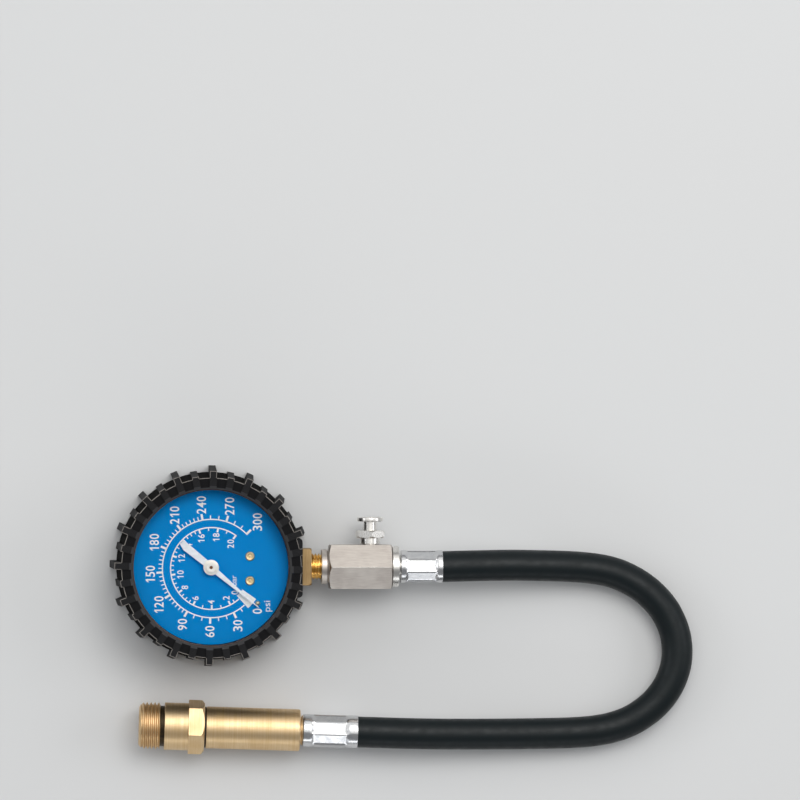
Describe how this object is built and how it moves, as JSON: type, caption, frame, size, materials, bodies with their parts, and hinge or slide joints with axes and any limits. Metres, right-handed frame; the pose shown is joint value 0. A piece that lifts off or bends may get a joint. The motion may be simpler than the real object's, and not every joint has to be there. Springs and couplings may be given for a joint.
{
  "type": "engine compression tester gauge",
  "caption": "Dial pressure gauge in a ribbed rubber boot, with a push-button release valve and a short crimped hose ending in a threaded brass spark-plug adaptor.",
  "frame": {"origin": "on the dial's axis, at the flat back of the rubber boot", "axes": "+Z out of the dial, +X along the stem away from the gauge, +Y to the side that the release valve's button is on. The tool lies on its back on the plane Z = 0."},
  "size_m": [0.2259, 0.1118, 0.0323],
  "materials": {
    "black_rubber": "matt black moulded rubber, lightly worn on its edges",
    "hose_rubber": "smooth black hose with a soft sheen",
    "dark_seal": "black seal rubber",
    "case_steel": "dark blackened steel",
    "clear_window": "clear, polished",
    "dial_blue": "blue painted plate with white print",
    "pointer_silver": "bright satin",
    "hub_cream": "pale satin",
    "milled_brass": "milled, slightly brown",
    "bright_brass": "turned, bright",
    "screw_brass": "stamped and turned, satin",
    "bright_nickel": "bright nickel plate",
    "brushed_nickel": "nickel plate over brushed flats",
    "plated_steel": "zinc-plated, bright",
    "spring_steel": "plain steel"
  },
  "bodies": {
    "tool": {"adaptor_seal": "dark_seal", "bezel_ring": "case_steel", "boot": "black_rubber", "bourdon_tube": "milled_brass", "case": "case_steel", "case_screw_1": "plated_steel", "case_screw_2": "plated_steel", "dial": "dial_blue", "dial_post_1": "screw_brass", "dial_post_2": "screw_brass", "dial_screw_1": "screw_brass", "dial_screw_2": "screw_brass", "end_fitting": "bright_brass", "far_ferrule": "plated_steel", "hairspring": "spring_steel", "hose": "hose_rubber", "hose_nipple": "bright_nickel", "manifold_block": "brushed_nickel", "movement_back_plate": "screw_brass", "movement_front_plate": "screw_brass", "movement_pillar": "screw_brass", "near_ferrule": "plated_steel", "release_spring": "spring_steel", "release_valve_body": "bright_nickel", "restrictor_screw": "bright_brass", "socket": "milled_brass", "stop_pin": "plated_steel", "tube_end_piece": "bright_brass", "valve_core": "bright_nickel", "valve_core_spring": "spring_steel", "window": "clear_window"},
    "sector": {"sector_gear": "screw_brass", "sector_arbor": "spring_steel", "sector_tail_pin": "spring_steel"},
    "pointer_group": {"pointer": "pointer_silver", "pointer_hub": "hub_cream", "pinion_arbor": "spring_steel"},
    "link_group": {"link": "screw_brass", "link_tip_pin": "spring_steel"},
    "release_button": {"release_plunger": "bright_nickel", "release_seal": "dark_seal"},
    "check_pin": {"valve_core_pin": "plated_steel"},
    "adaptor": {"m18_adaptor": "bright_brass"}
  },
  "joints": [
    {"name": "sector_swing", "type": "hinge", "parent": "tool", "child": "sector", "pos_m": [0.00831, 0.01064, 0.0184], "axis": [0, 0, 1], "range_deg": [0, 34.5], "stiffness_Nm_per_rad": 0.01, "deforming": ["bourdon_tube", "tube_end_piece"]},
    {"name": "pointer_turn", "type": "hinge", "parent": "tool", "child": "pointer_group", "pos_m": [0, 0, 0.0184], "axis": [0, 0, -1], "range_deg": [0, 276], "deforming": ["hairspring"]},
    {"name": "link_swing", "type": "hinge", "parent": "sector", "child": "link_group", "pos_m": [0.01426, 0.00988, 0.0174], "axis": [0, 0, -1], "range_deg": [0, 32.8]},
    {"name": "release_button_press", "type": "slide", "parent": "tool", "child": "release_button", "axis": [0, -1, 0], "range_m": [0, 0.0025], "stiffness_N_per_m": 600, "springref_m": -0.002, "deforming": ["release_spring"]},
    {"name": "check_valve_lift", "type": "slide", "parent": "tool", "child": "check_pin", "axis": [0.9995, -0.0309, 0], "range_m": [0, 0.0012], "stiffness_N_per_m": 100, "springref_m": -0.001, "deforming": ["valve_core_spring"]},
    {"name": "adaptor_unscrew", "type": "slide", "parent": "tool", "child": "adaptor", "axis": [-0.9995, 0.0309, 0], "range_m": [0, 0.02]}
  ],
  "couplings": [
    {"joint": "pointer_turn", "follows": "sector_swing", "ratio": 8},
    {"joint": "link_swing", "follows": "sector_swing", "ratio": 0.948}
  ]
}
